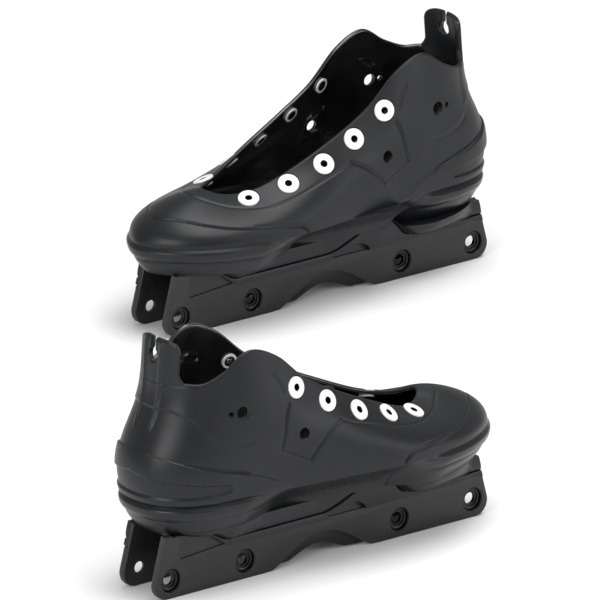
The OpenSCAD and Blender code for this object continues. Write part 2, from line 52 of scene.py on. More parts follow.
# --------------------------------------------------------------- the boot's form
# One row for each station from the middle of the heel to the middle of the toe:
# seam x, seam y, rim x, rim y, rim z, lean of the rim in degrees, swell of the wall
STATIONS = np.array([
    [-141.5, 0, -126.5, 0, 149.5, 0, 15],
    [-138, 18, -124.5, 13, 149.5, 1, 13],
    [-126, 32, -118, 23.5, 149.5, 3, 9],
    [-107, 39.5, -107, 30.5, 149.5, 6, 5],
    [-84, 41.5, -92.5, 34, 156, 8, 4],
    [-62, 42.5, -73, 35, 167.5, 8, 4],
    [-38, 44, -50, 35, 159, 9, 3],
    [-12, 47, -25, 34, 137.5, 15, 2],
    [16, 51, 4, 32.5, 121.5, 28, 2],
    [46, 54, 34, 29.5, 107.5, 40, 3],
    [77, 52, 60, 24, 96.5, 55, 4],
    [106, 45, 76, 17.5, 92.5, 68, 4],
    [130, 32, 87, 10.5, 92.5, 78, 3],
    [145, 16, 93, 5, 94.5, 84, 2],
    [151, 0, 95, 0, 95.5, 86, 1]])
LAST = len(STATIONS) - 1
FLIP = np.array([1, -1, 1, -1, 1, 1, 1])
ROWS = np.vstack([STATIONS[1] * FLIP, STATIONS, STATIONS[-2] * FLIP])
LENGTH = 292.5
HEEL_LEAN, TOE_LEAN = 3.5, 1.0
SEAM_Z, SOLE_Z = 66.0, 44.0
WALL, FLOOR = 3.4, 4.0
LOW_REACH, RIM_REACH = 0.45, 0.4    # handles of the wall's curve, as shares
NUDGE = 0.02


def smooth(t):
    t = np.clip(t, 0, 1)
    return t * t * (3 - 2 * t)


def row_at(c):
    """The smooth row through the stations; c is negative on the outer side."""
    c = np.asarray(c, float)
    a = np.minimum(np.abs(c), LAST)
    i = np.minimum(a.astype(int), LAST - 1)
    t = (a - i)[..., None]
    p0, p1, p2, p3 = (ROWS[i + k] for k in range(4))
    r = 0.5 * (2 * p1 + (p2 - p0) * t + (2 * p0 - 5 * p1 + 4 * p2 - p3) * t**2
               + (3 * p1 - p0 - 3 * p2 + p3) * t**3)
    return np.where(c[..., None] < 0, r * FLIP, r)


def lean_in(x):
    return np.where(x < 0, HEEL_LEAN, TOE_LEAN) * (2 * x / LENGTH) ** 2


def seam_at(c):
    r = row_at(c)
    return np.stack([r[..., 0], r[..., 1] + lean_in(r[..., 0]),
                     np.full(r.shape[:-1], SEAM_Z)], -1)


def rim_at(c):
    r = row_at(c)
    return np.stack([r[..., 2], r[..., 3] + lean_in(r[..., 2]), r[..., 4]], -1)


def out_at(c):
    """Level direction out of the boot at c."""
    c = np.asarray(c, float)
    near = np.clip(c, -LAST + NUDGE, LAST - NUDGE)
    d = row_at(near + NUDGE)[..., :2] - row_at(near - NUDGE)[..., :2]
    d /= np.linalg.norm(d, axis=-1, keepdims=True)
    n = np.stack([-d[..., 1], d[..., 0], 0 * d[..., 0]], -1)
    return np.where(np.abs(c)[..., None] > LAST - NUDGE, np.array([1.0, 0, 0]), n)


def rim_up(c):
    """Direction in which the wall runs at the rim."""
    lean = np.radians(row_at(c)[..., 5])[..., None]
    return UP * np.cos(lean) - out_at(c) * np.sin(lean)


def wall_at(c, v, depth=0.0):
    """A point of the wall: outer face for depth 0, inner face for depth WALL."""
    r, n, rim, s = row_at(c), out_at(c), rim_at(c), seam_at(c)
    lean = np.radians(r[..., 5])[..., None]
    inward = -n * np.cos(lean) - UP * np.sin(lean)
    reach = RIM_REACH * np.linalg.norm(rim - s, axis=-1, keepdims=True)
    base = s + UP * (FLOOR if depth else 0) - n * depth
    low = s + UP * LOW_REACH * (rim[..., 2:] - SEAM_Z) + n * (r[..., 6:] - depth)
    top = rim + inward * depth
    high = top - rim_up(c) * reach
    v = np.asarray(v, float)[..., None]
    return ((1 - v) ** 3 * base + 3 * v * (1 - v) ** 2 * low
            + 3 * v**2 * (1 - v) * high + v**3 * top)


def face_at(c, v):
    """Outward normal of the outer face."""
    c, v = np.asarray(c, float), np.asarray(v, float)
    dc = wall_at(np.clip(c + NUDGE, -LAST, LAST), v) - wall_at(
        np.clip(c - NUDGE, -LAST, LAST), v)
    dv = wall_at(c, v + NUDGE) - wall_at(c, v - NUDGE)
    n = np.cross(dv, dc)
    return n / np.linalg.norm(n, axis=-1, keepdims=True)


def on_wall(c, v):
    """Matrix whose +Z leaves the wall at (c, v)."""
    place, n = Vector(wall_at(c, v)), Vector(face_at(c, v))
    return Matrix.Translation(place) @ n.to_track_quat("Z", "Y").to_matrix().to_4x4()


# ------------------------------------------------------------------- mesh making
def loft(rings, wrap=False, mats=None, cap_mats=(0, 0)):
    """Closed solid through equal rings; wrap joins the last ring to the first."""
    rings = np.asarray(rings, float)
    m, n = rings.shape[:2]
    j, i = np.meshgrid(np.arange(m if wrap else m - 1), np.arange(n), indexing="ij")
    a, b = j * n + i, j * n + (i + 1) % n
    step = (j + 1) % m - j
    quads = np.stack([a, b, b + step * n, a + step * n], -1).reshape(-1, 4)
    kinds = np.zeros(len(quads), int) if mats is None else np.repeat(mats, n)
    caps = [] if wrap else [list(range(n))[::-1], list(range((m - 1) * n, m * n))]
    v = rings.reshape(-1, 3)
    p = v[quads]
    volume = np.einsum("ij,ij->i", p[:, 0], np.cross(p[:, 1], p[:, 2])).sum()
    volume += np.einsum("ij,ij->i", p[:, 0], np.cross(p[:, 2], p[:, 3])).sum()
    for cap in caps:
        q = v[cap]
        volume += np.einsum("ij,ij->i", np.broadcast_to(q[0], q[1:-1].shape),
                            np.cross(q[1:-1], q[2:])).sum()
    if volume < 0:
        quads = quads[:, ::-1]
        caps = [cap[::-1] for cap in caps]
    return {"v": v, "f": quads.tolist() + caps,
            "m": kinds.tolist() + list(cap_mats)[: len(caps)]}


def lathe(profile, wrap=True, segments=64):
    """Solid turned about Z from (radius, height) pairs."""
    turn = np.linspace(0, 2 * math.pi, segments, endpoint=False)
    return loft([[(r * math.cos(a), r * math.sin(a), z) for a in turn]
                 for r, z in profile], wrap)


def moved(solid, matrix):
    m = np.array(matrix)
    v = solid["v"] @ m[:3, :3].T + m[:3, 3]
    f = solid["f"]
    if np.linalg.det(m[:3, :3]) < 0:
        f = [face[::-1] for face in f]
    return {"v": v, "f": f, "m": solid["m"]}


def joined(solids):
    v, f, m, start = [], [], [], 0
    for s in solids:
        v.append(s["v"])
        f += [[k + start for k in face] for face in s["f"]]
        m += s["m"]
        start += len(s["v"])
    return {"v": np.vstack(v), "f": f, "m": m}


def offset_outline(points, by):
    """Closed outline in the plane, moved inwards by a small distance."""
    p = np.asarray(points, float)
    area = np.sum(p[:, 0] * np.roll(p[:, 1], -1) - p[:, 1] * np.roll(p[:, 0], -1))
    d1, d0 = np.roll(p, -1, 0) - p, p - np.roll(p, 1, 0)
    n1, n0 = (np.stack([-d[:, 1], d[:, 0]], -1) / np.linalg.norm(d, axis=1)[:, None]
              for d in (d1, d0))
    n = n1 + n0
    n /= np.maximum(np.einsum("ij,ij->i", n, n)[:, None] / 2, 0.7)
    return p + n * by * (1 if area > 0 else -1)


def slab(outline, y0, y1, edge=0.0, steps=3):
    """Outline in XZ drawn out along Y, its two rims rounded by edge."""
    rings = []
    for y, side in ((y0, 1), (y1, -1)):
        arc = []
        for k in range(steps + 1 if edge else 1):
            a = math.pi / 2 * k / steps
            p = offset_outline(outline, edge * (1 - math.sin(a)))
            arc.append(np.stack([p[:, 0], np.full(len(p), y + side * edge * (1 - math.cos(a))),
                                 p[:, 1]], -1))
        rings += arc if side > 0 else arc[::-1]
    return loft(rings)


def make(name, solid, materials=()):
    mesh = bpy.data.meshes.new(name)
    mesh.from_pydata(solid["v"].tolist(), [], solid["f"])
    for material in materials:
        mesh.materials.append(material)
    mesh.polygons.foreach_set("material_index", solid["m"])
    obj = bpy.data.objects.new(name, mesh)
    bpy.context.scene.collection.objects.link(obj)
    return obj


def combine(obj, solid, operation):
    """Exact union, difference or overlap of obj and a solid."""
    other = make("cutter", solid)
    mod = obj.modifiers.new("combine", "BOOLEAN")
    mod.object, mod.operation, mod.solver = other, operation, "MANIFOLD"
    bpy.context.view_layer.update()
    done = bpy.data.meshes.new_from_object(
        obj.evaluated_get(bpy.context.evaluated_depsgraph_get()))
    obj.modifiers.clear()
    old, obj.data = obj.data, done
    bpy.data.meshes.remove(old)
    gone = other.data
    bpy.data.objects.remove(other)
    bpy.data.meshes.remove(gone)


def solid_of(obj):
    """The solid that obj holds; obj itself is removed."""
    mesh = obj.data
    solid = {"v": np.array([v.co for v in mesh.vertices]),
             "f": [list(p.vertices) for p in mesh.polygons], "m": [0] * len(mesh.polygons)}
    bpy.data.objects.remove(obj)
    return solid


def shade(obj, angle=32):
    obj.data.shade_smooth()
    obj.data.set_sharp_from_angle(angle=math.radians(angle))


# --------------------------------------------------------------------- materials
class Nodes:
    """Short hand for one material's node tree, in object coordinates in metres."""

    def __init__(self, name):
        self.material = bpy.data.materials.new(name)
        self.material.use_nodes = True
        self.tree = self.material.node_tree
        self.shader = self.tree.nodes["Principled BSDF"]
        self.place = self.add("ShaderNodeTexCoord").outputs["Object"]

    def add(self, kind, **settings):
        node = self.tree.nodes.new(kind)
        for key, value in settings.items():
            setattr(node, key, value)
        return node

    def link(self, a, b):
        self.tree.links.new(a, b)

    def stretched(self, scale):
        node = self.add("ShaderNodeMapping")
        node.inputs["Scale"].default_value = scale
        self.link(self.place, node.inputs["Vector"])
        return node.outputs["Vector"]

    def noise(self, scale, detail=3.0, vector=None):
        node = self.add("ShaderNodeTexNoise")
        node.inputs["Scale"].default_value = scale
        node.inputs["Detail"].default_value = detail
        self.link(vector or self.place, node.inputs["Vector"])
        return node.outputs["Fac"]

    def cells(self, scale):
        node = self.add("ShaderNodeTexVoronoi")
        node.inputs["Scale"].default_value = scale
        self.link(self.place, node.inputs["Vector"])
        return node.outputs["Distance"]

    def span(self, value, low, high, start=0.3, end=0.7):
        node = self.add("ShaderNodeMapRange")
        for key, number in (("From Min", start), ("From Max", end),
                            ("To Min", low), ("To Max", high)):
            node.inputs[key].default_value = number
        self.link(value, node.inputs["Value"])
        return node.outputs["Result"]

    def blend(self, factor, a, b):
        node = self.add("ShaderNodeMix", data_type="RGBA")
        self.link(factor, node.inputs["Factor"])
        for socket, colour in ((node.inputs["A"], a), (node.inputs["B"], b)):
            if isinstance(colour, tuple):
                socket.default_value = (*colour, 1)
            else:
                self.link(colour, socket)
        return node.outputs["Result"]

    def bump(self, height, strength, distance, below=None):
        node = self.add("ShaderNodeBump")
        node.inputs["Strength"].default_value = strength
        node.inputs["Distance"].default_value = distance
        self.link(height, node.inputs["Height"])
        if below:
            self.link(below, node.inputs["Normal"])
        return node.outputs["Normal"]

    def edges(self, start, end):
        node = self.add("ShaderNodeNewGeometry")
        return self.span(node.outputs["Pointiness"], 0, 1, start, end)

    def finish(self, colour, roughness, normal):
        for socket, value in (("Base Color", colour), ("Roughness", roughness),
                              ("Normal", normal)):
            self.link(value, self.shader.inputs[socket])
        return self.material


def grey(level, blue=0.0):
    return (level, level * (1 + blue * 0.3), level * (1 + blue))


def moulded(name, level, blue, rough, grain, strength, worn):
    """Moulded plastic: fine grain, soft blotches, paler rubbed edges."""
    n = Nodes(name)
    blotch = n.span(n.noise(28, 4), 0, 1)
    body = n.blend(blotch, grey(level * 0.86, blue), grey(level * 1.14, blue))
    speck = n.blend(n.span(n.noise(grain * 0.6, 2), 0, 1), body, grey(level * 1.25, blue))
    tinted = n.blend(n.span(n.noise(140, 3), 0, 0.35), body, speck)
    colour = n.blend(n.edges(0.53, 0.62), tinted, grey(level * worn, blue))
    smear = n.noise(9, 5, n.stretched((1, 1, 3)))
    roughness = n.span(smear, rough - 0.07, rough + 0.07)
    low = n.bump(n.cells(grain), strength, 0.00012)
    high = n.bump(n.noise(grain * 2.2, 2), strength * 0.7, 0.00008, low)
    n.shader.inputs["IOR"].default_value = 1.4
    return n.finish(colour, roughness, high)


def glossy_inside():
    """The polished inner face, smeared and scuffed by the mould."""
    n = Nodes("shell_inside")
    colour = n.blend(n.span(n.noise(40, 5), 0, 1), grey(0.004), grey(0.011, 0.1))
    smear = n.noise(26, 6, n.stretched((1.5, 1.5, 0.6)))
    roughness = n.span(smear, 0.1, 0.34)
    wave = n.bump(n.noise(60, 3), 0.45, 0.0012)
    fine = n.bump(n.noise(900, 3), 0.12, 0.0001, wave)
    n.shader.inputs["IOR"].default_value = 1.62
    n.shader.inputs["Coat Weight"].default_value = 0.5
    n.shader.inputs["Coat Roughness"].default_value = 0.12
    return n.finish(colour, roughness, fine)


def enamel():
    n = Nodes("eyelet_enamel")
    colour = n.blend(n.span(n.noise(300, 4), 0, 1), (0.82, 0.82, 0.81), (0.93, 0.93, 0.92))
    roughness = n.span(n.noise(120, 3), 0.3, 0.42)
    n.shader.inputs["Coat Weight"].default_value = 0.3
    n.shader.inputs["Coat Roughness"].default_value = 0.15
    return n.finish(colour, roughness, n.bump(n.noise(1500, 2), 0.08, 0.00005))


def zinc_steel():
    n = Nodes("zinc_steel")
    n.shader.inputs["Metallic"].default_value = 1.0
    colour = n.blend(n.span(n.noise(400, 4), 0, 1), (0.3, 0.3, 0.31), (0.52, 0.52, 0.53))
    scratch = n.noise(900, 2, n.stretched((1, 1, 0.08)))
    roughness = n.span(scratch, 0.28, 0.46)
    return n.finish(colour, roughness, n.bump(scratch, 0.1, 0.00006))


SHELL = moulded("shell_matte", 0.0062, 0.4, 0.4, 1500, 0.22, 1.9)
INSIDE = glossy_inside()
PLATE = moulded("plate_satin", 0.0075, 0.3, 0.34, 1300, 0.2, 2.2)
FRAME_SKIN = moulded("frame_satin", 0.0145, 0.06, 0.38, 1900, 0.3, 2.6)
# The groove block's near-black tone, a third of the frame's, is painted shade from between the
# frame walls.
BLOCK_SHADE_SKIN = moulded("block_painted_shade", 0.005, 0.0, 0.38, 1200, 0.2, 2.4)
# Black insert plastic; inside the white eyelets' lace holes it is also painted shade.
INSERT_AND_SHADE_SKIN = moulded("insert_gloss_and_shade", 0.002, 0.0, 0.26, 1600, 0.12, 2.0)
ENAMEL = enamel()
STEEL = zinc_steel()

# ------------------------------------------------------------- surface of the shell
PER_STATION = 36
COLS = 2 * LAST * PER_STATION
OUTER_ROWS, INNER_ROWS = 124, 56
TOP_V = 0.986      # the rounded rim takes the rest
PIVOT, STRAP = (4.38, 0.64), (6.33, 0.39)
EYELETS = [(6.55, 0.85), (7.54, 0.86), (8.43, 0.83), (9.38, 0.85), (10.68, 0.88)]

# Lines in the wall as (station, share of the height), with depth and half width
GROOVES = [
    ([(6.12, 0.66), (5.86, 0.52), (5.68, 0.38), (5.47, 0.25), (6.35, 0.165), (7.7, 0.655)],
     1.0, 0.9),
    ([(7.7, 0.655), (8.0, 0.63), (8.6, 0.635), (9.2, 0.62), (9.8, 0.64), (10.8, 0.72),
      (12.2, 0.81), (14, 0.84)], 0.45, 1.0),
    ([(14, 0.42), (13.2, 0.47), (12.4, 0.475), (11.6, 0.43), (10.7, 0.345), (9.75, 0.215),
      (9.15, 0.13), (8.95, 0.05), (8.9, 0)], 1.0, 0.9),
    ([(8.95, 0.03), (9.1, 0.14), (9.7, 0.27), (10.4, 0.35)], 0.6, 1.1),
    ([(4.25, 0.155), (3.4, 0.24), (2.1, 0.33)], 0.7, 1.0),
    ([(2.9, 0.56), (3.3, 0.485), (3.9, 0.415), (4.5, 0.375)], 0.35, 1.6),
    ([(5.75, 0.86), (5.95, 0.8), (6.0, 0.74)], 0.45, 1.4)]
COUNTER = np.array([(0, 0.42), (0.6, 0.41), (1.5, 0.37), (2.6, 0.29), (3.8, 0.19),
                    (5.0, 0.085), (5.9, 0.0)])
HEEL_BAND = np.array([(0, 0.79), (1.4, 0.79), (2.2, 0.735), (2.6, 0.68), (2.9, 0.6)])
CHANNEL = ((0, 0.14, 8.2), (3.45, 0.095, 3.0))   # station, height share, half width
CHANNEL_DEEP = 1.5
RIB_Y, RIB_LOW = 8.0, 112.0


def metric(c, v):
    """Millimetres for each unit of c and of v, over a grid."""
    e = NUDGE / 2
    mc = np.linalg.norm(wall_at(np.clip(c + e, -LAST, LAST), v)
                        - wall_at(np.clip(c - e, -LAST, LAST), v), axis=-1) / (2 * e)
    mv = np.linalg.norm(wall_at(c, v + e) - wall_at(c, v - e), axis=-1) / (2 * e)
    return np.maximum(mc, 1), np.maximum(mv, 1)


def to_line(c, v, mc, mv, line):
    """Distance in millimetres from a polyline drawn in (c, v)."""
    best = np.full(c.shape, 1e9)
    for (c0, v0), (c1, v1) in zip(line[:-1], line[1:]):
        ax, ay = (c - c0) * mc, (v - v0) * mv
        bx, by = (c1 - c0) * mc, (v1 - v0) * mv
        t = np.clip((ax * bx + ay * by) / (bx * bx + by * by), 0, 1)
        best = np.minimum(best, np.hypot(ax - t * bx, ay - t * by))
    return best


def relief(c, v, p):
    """How far the outer face stands out of the plain form."""
    a = np.abs(c)
    mc, mv = metric(c, v)
    h = np.zeros(c.shape)
    for line, deep, half in GROOVES:
        d = to_line(a, v, mc, mv, line)
        h -= deep * np.exp(-((d / half) ** 2))
    below = (np.interp(a, COUNTER[:, 0], COUNTER[:, 1], right=-1) - v) * mv
    h += 1.5 * smooth(below / 1.4 + 0.5) * smooth((6.4 - a) / 1.4)
    above = (v - np.interp(a, HEEL_BAND[:, 0], HEEL_BAND[:, 1], right=2)) * mv
    h += 0.7 * smooth(above / 1.2 + 0.5) * smooth((2.9 - a) / 0.5)
    (_, v0, r0), (c1, v1, r1) = CHANNEL
    t = np.clip(a / c1, 0, 1)
    d = np.hypot((a - t * c1) * mc, (v - (v0 + (v1 - v0) * t)) * mv) - (r0 + (r1 - r0) * t)
    h -= CHANNEL_DEEP * smooth(-d / 1.2 + 0.5)
    return h + ribs(p)


def ribs(p):
    """Two upright ribs behind the heel, beside the slot."""
    side = np.abs(np.abs(p[..., 1] - HEEL_LEAN) - RIB_Y)
    low = smooth((p[..., 2] - RIB_LOW) / 12) * (p[..., 0] < -100)
    return 1.3 * np.exp(-((side / 1.5) ** 2)) * low


def inner_relief(c, v):
    """Square seats round the strap holes and creases inside the wings."""
    a = np.abs(c)
    mc, mv = metric(c, v)
    u, w = (a - STRAP[0]) * mc, (v - STRAP[1]) * mv
    box = np.maximum(np.abs(u), np.abs(w))
    h = 1.3 * np.exp(-(((box - 8.5) / 1.1) ** 2))
    for line in ([(3.9, 0.78), (4.6, 0.8), (5.4, 0.78)], [(3.9, 0.74), (4.6, 0.76), (5.4, 0.74)],
                 [(4.0, 0.5), (4.7, 0.48), (5.3, 0.5)]):
        h += 0.8 * np.exp(-((to_line(a, v, mc, mv, line) / 1.2) ** 2))
    return h


def shell_skin():
    c = -LAST + np.arange(COLS) / PER_STATION
    outer_v = np.linspace(0, TOP_V, OUTER_ROWS + 1)
    cc, vv = np.meshgrid(c, outer_v)
    p = wall_at(cc, vv)
    n = face_at(cc, np.clip(vv, NUDGE, 1 - NUDGE))
    fade = smooth(vv * 90 / 2) * smooth((TOP_V - vv) * 90 / 2 + 0.4)
    outer = p + n * (relief(cc, vv, p) * fade)[..., None]
    inner_v = np.linspace(TOP_V, 0, INNER_ROWS + 1)
    ci, vi = np.meshgrid(c, inner_v)
    inner = wall_at(ci, vi, WALL) - face_at(ci, np.clip(vi, NUDGE, 1 - NUDGE)) * (
        inner_relief(ci, vi) * smooth(vi * 8))[..., None]
    mid, half = (outer[-1] + inner[0]) / 2, (outer[-1] - inner[0]) / 2
    along = rim_up(c) * np.linalg.norm(half, axis=-1, keepdims=True) * 0.85
    turns = np.linspace(0, math.pi, 9)[1:-1]
    rim = [mid + half * math.cos(a) + along * math.sin(a) for a in turns]
    rings = [*outer, *rim, *inner]
    middle = len(outer) + len(rim) // 2
    mats = [0] * middle + [1] * (len(rings) - 1 - middle)
    return loft(rings, mats=mats, cap_mats=(0, 1))


TAB_HIGH, TAB_SINK, TAB_REACH, TAB_LEAN = 28.5, 7.0, 1.65, 2.0
SLOT_D, SLOT_NECK, SLOT_DEEP = 9.5, 5.0, 12.5
TAB_THICK = WALL + 1.0
TAB_CORNER, TAB_ROUND, TAB_FLARE, TAB_DROOP = 7.0, 0.36, 0.3, 2.5
TAB_TUCK, TAB_TUCK_Z = 0.35, -3.0    # its root is narrower inside the wall


def heel_tab():
    """Plate above the rim behind the heel, with rounded edges and flared foot."""
    rows = np.concatenate([np.linspace(-TAB_SINK, 20, 34)[:-1],
                           20 + (TAB_HIGH - 20) * np.sin(np.linspace(0, math.pi / 2, 22))])
    k = np.sin(np.linspace(-math.pi / 2, math.pi / 2, 75))
    rings = []
    for h in rows:
        q = np.clip((h - TAB_HIGH + TAB_CORNER) / TAB_CORNER, 0, 1)
        flare = TAB_FLARE * max(0, 1 - max(h, 0) / TAB_CORNER) ** 2
        reach = TAB_REACH - TAB_ROUND * (1 - math.sqrt(1 - q * q)) + flare
        reach -= TAB_TUCK if h < TAB_TUCK_Z else 0
        c = k * reach
        n, rim = out_at(c), rim_at(c)
        edge = np.minimum((1 - np.abs(k)) * reach * 19, TAB_HIGH - h)
        thin = np.sqrt(1 - (1 - np.clip(edge / 2.0, 0.03, 1)) ** 2)[:, None]
        droop = TAB_DROOP * np.abs(k) ** 4 * smooth(h / TAB_HIGH)
        mid = rim + n * (0.5 - TAB_THICK / 2) + UP * (h - droop)[:, None] + np.array(
            [TAB_LEAN, 0, 0]) * max(h, 0) / TAB_HIGH
        front, back = mid + n * TAB_THICK / 2 * thin, mid - n * TAB_THICK / 2 * thin
        front = front + n * (ribs(front) * thin[:, 0] * smooth((TAB_HIGH - h) / 4))[:, None]
        rings.append(np.vstack([front, back[::-1]]))
    return loft(rings)


def slot_cutter():
    """Keyhole through the tab, with broken edges on both faces."""
    rim = STATIONS[0]
    z = rim[4] + TAB_HIGH - SLOT_DEEP
    out_x = rim[2] + TAB_LEAN * (1 - SLOT_DEEP / TAB_HIGH) - 0.5
    in_x = out_x + TAB_THICK
    sections = []
    for x, grow in ((out_x - 6, 0.8), (out_x - 0.2, 0.8), (out_x + 0.7, 0), (in_x - 0.7, 0),
                    (in_x + 0.2, 0.8), (in_x + 6, 0.8)):
        r, w = SLOT_D / 2 + grow, SLOT_NECK / 2 + grow
        start = math.asin(w / r)
        turn = np.linspace(math.pi / 2 - start, -3 * math.pi / 2 + start, 48)
        ring = [(x, HEEL_LEAN + r * math.cos(a), z + r * math.sin(a)) for a in turn]
        top = z + SLOT_DEEP + 6
        sections.append([(x, HEEL_LEAN + w, top), *ring, (x, HEEL_LEAN - w, top)])
    return loft(sections)


def bore(radius, broken=0.5, reach=12.0):
    """Cutter for a round hole, its mouth broken at the outer face at z = 0."""
    return lathe([(radius, -reach), (radius, -broken), (radius + broken + 0.6, 0.6),
                  (radius + broken + 0.6, 3)], wrap=False, segments=48)


PIVOT_R, INDEX_R, INDEX_GAP, STRAP_R = 4.25, 2.0, 8.5, 4.0
EYELET_R, EYELET_T, BARREL_R, LACE_R, SEAT = 7.5, 1.8, 3.8, 2.3, 0.9
WASHER_R, WASHER_T, PLAY = 5.5, 1.2, 0.3
NUT_BARREL_R, BOLT_X = 5.5, 83.5
NUT_HOLE_R = NUT_BARREL_R + 0.1


def along_y(x, z, y, side):
    """Matrix whose +Z points along side * Y from (x, y, z)."""
    return Matrix.Translation((x, y, z)) @ Matrix.Rotation(-side * math.pi / 2, 4, "X")


def shell_cutters():
    p = wall_at(-PIVOT[0], PIVOT[1])
    cuts = [slot_cutter()]
    for side in (-1, 1):
        for x, radius in ((p[0], PIVOT_R), (p[0] - INDEX_GAP, INDEX_R)):
            face = wall_at(side * PIVOT[0], PIVOT[1])[1]
            cuts.append(moved(bore(radius), along_y(x, p[2], face, side)))
        cuts.append(moved(bore(STRAP_R), on_wall(side * STRAP[0], STRAP[1])))
        for c, v in EYELETS:
            seat = on_wall(side * c, v)
            cuts.append(moved(lathe(
                [(WASHER_R + PLAY, -WALL - 6), (WASHER_R + PLAY, -WALL),
                 (BARREL_R + PLAY, -WALL), (BARREL_R + PLAY, -SEAT),
                 (EYELET_R + PLAY, -SEAT), (EYELET_R + PLAY + 1.2, 2)],
                wrap=False, segments=48), seat))
        nut_hole = lathe([(NUT_HOLE_R, SEAM_Z - 1), (NUT_HOLE_R, SEAM_Z + FLOOR + 1)], False)
        cuts.append(moved(nut_hole, Matrix.Translation((side * BOLT_X, 0, 0))))
    return cuts


def shell():
    obj = make("shell", shell_skin(), (SHELL, INSIDE))
    combine(obj, heel_tab(), "UNION")
    combine(obj, joined(shell_cutters()), "DIFFERENCE")
    shade(obj, 38)
    return obj


def eyelets(side):
    """Flanged eyelets: a crowned flange with a fine ring, and a rolled lace hole."""
    f, top = -SEAT, EYELET_T - SEAT
    profile = [(LACE_R, -WALL - WASHER_T), (BARREL_R, -WALL - WASHER_T), (BARREL_R, f),
               (EYELET_R - 0.2, f), (EYELET_R, f + 0.25), (EYELET_R, top - 0.75),
               (EYELET_R - 0.25, top - 0.3), (EYELET_R - 0.8, top - 0.05),
               (EYELET_R - 1.5, top), (5.0, top - 0.02), (4.75, top - 0.25),
               (4.5, top - 0.02), (3.6, top), (3.0, top - 0.1), (2.55, top - 0.4),
               (LACE_R, top - 0.95), (LACE_R, -WALL)]
    ring = lathe(profile)
    # The lace hole's inner faces and the barrel's foot take the black insert material: painted
    # shade inside the white eyelet.
    painted_shade_row = len(profile) - 3
    ring["m"] = [1 if k // 64 in (0, painted_shade_row, painted_shade_row + 1, painted_shade_row + 2) else 0
                 for k in range(len(ring["f"]))]
    return make("eyelets", joined([moved(ring, on_wall(side * c, v)) for c, v in EYELETS]),
                (ENAMEL, INSERT_AND_SHADE_SKIN))


def washer_profile(inner, outer, low, high, edge=0.25):
    return [(inner, low), (outer - edge, low), (outer, low + edge), (outer, high - edge),
            (outer - edge, high), (inner + edge, high), (inner, high - edge)]


def eyelet_washers(side):
    low = -WALL - WASHER_T
    ring = lathe(washer_profile(BARREL_R, WASHER_R, low, -WALL))
    return make("washers", joined([moved(ring, on_wall(side * c, v)) for c, v in EYELETS]),
                (ENAMEL,))


# ----------------------------------------------------------- sole and soul plates
TIP_INSET, SIDE_INSET, SWELL = 9.0, 24.0, 2.2
WAIST_END, TIP_START, TIP_BEND = 35.0, 85.0, 2.4
DISH_BEND = 1.7    # above 1 hollows the waist under the seam
PLATE_HALF, CORE_HALF = 45.0, 20.0
SOLE_ROWS, GAP = 44, 0.2


def sole_blank():
    """The seam's outline drawn down to the underside, dished at the waist."""
    c = -LAST + np.arange(0, COLS, 2) / PER_STATION
    s, n = seam_at(c), out_at(c)
    x = s[:, 0]
    waist = (1 - smooth((np.abs(x) - WAIST_END) / (TIP_START - WAIST_END)))[:, None]
    rings = []
    for t in np.linspace(0, 1, SOLE_ROWS + 1):
        dish = SIDE_INSET * (1 - (1 - t) ** DISH_BEND)
        out = (SWELL * (1 - waist) * math.sin(math.pi * min(1, 2 * t))
               - TIP_INSET * (1 - waist) * t**TIP_BEND - dish * waist)
        lip = 0.7 * math.exp(-(((t - 0.12) / 0.07) ** 2)) * (1 - waist)
        line = 0.5 * math.exp(-(((t - 0.5) / 0.04) ** 2)) * smooth((x - 60) / 15)[:, None]
        rings.append(s + UP * (SOLE_Z - SEAM_Z) * t + n * (out + lip - line))
    return loft(rings)


def block(x0, x1, y0, y1, z0, z1):
    return slab([(x0, z0), (x1, z0), (x1, z1), (x0, z1)], y0, y1)


def zone(side, gap):
    y0, y1 = sorted((side * (CORE_HALF - gap), side * 90))
    return block(-PLATE_HALF - gap, PLATE_HALF + gap, y0, y1, SOLE_Z - 5, SEAM_Z + 5)


def sole():
    obj = make("sole", sole_blank(), (PLATE,))
    for side in (-1, 1):
        combine(obj, zone(side, GAP), "DIFFERENCE")
        hole = lathe([(NUT_HOLE_R, SOLE_Z - 1), (NUT_HOLE_R, SEAM_Z + 1)], False)
        combine(obj, moved(hole, Matrix.Translation((side * BOLT_X, 0, 0))), "DIFFERENCE")
    shade(obj, 38)
    return obj


LEDGE_Z, FRAME_HALF = 28.0, 20.0
SKIRT_HALF = FRAME_HALF + 2
SKIRT_IN, SKIRT_BACK, SKIRT_FRONT, SKIRT_RAMP = 17.3, -80.0, 145.0, 20.0
HUMP_X, HUMP_BACK, HUMP_FRONT = 44.0, 48.0, 26.0
HUMP_TOP, HUMP_OUT, LIP_Z, LIP_OUT = 51.0, 6.5, 5.0, 1.5
FOOT_BACK, FOOT_Z = -128.0, 38.5
LIP_FADE, FADE_RUN, FADE_SHARE = 116.0, 14.0, 0.8    # the lip shrinks towards the toe
NOTCH_X, NOTCH_HALF, NOTCH_TOP, NOTCH_DEEP = 18.0, 17.0, 9.0, 3.0
PLATE_SCREW_X, SCREW_R, SCREW_HEAD_R, SCREW_L = 30.0, 2.0, 3.75, 12.0
SCREW_START = 1.5    # plate left under the head
SCREW_HEAD_T, SCREW_KEY_R, SCREW_KEY_DEEP = 2.5, 1.8, 1.2
POCKET_R, POCKET_DEEP = SCREW_HEAD_R + 0.2, SCREW_HEAD_T + 0.05
END_TRIM, TOP_TRIM = 1.5, 3.5    # the skirt stops this far short of the frame's end
PLATE_SCREW_Z = (SEAM_Z + SOLE_Z) / 2


def sole_side(x):
    """How far the underside of the sole reaches out at x, on the outer side."""
    c = -np.linspace(0, LAST, 400)
    p, n = seam_at(c), out_at(c)
    waist = 1 - smooth((np.abs(p[:, 0]) - WAIST_END) / (TIP_START - WAIST_END))
    p = p - n * (TIP_INSET + (SIDE_INSET - TIP_INSET) * waist)[:, None]
    return np.interp(x, p[:, 0], -p[:, 1])


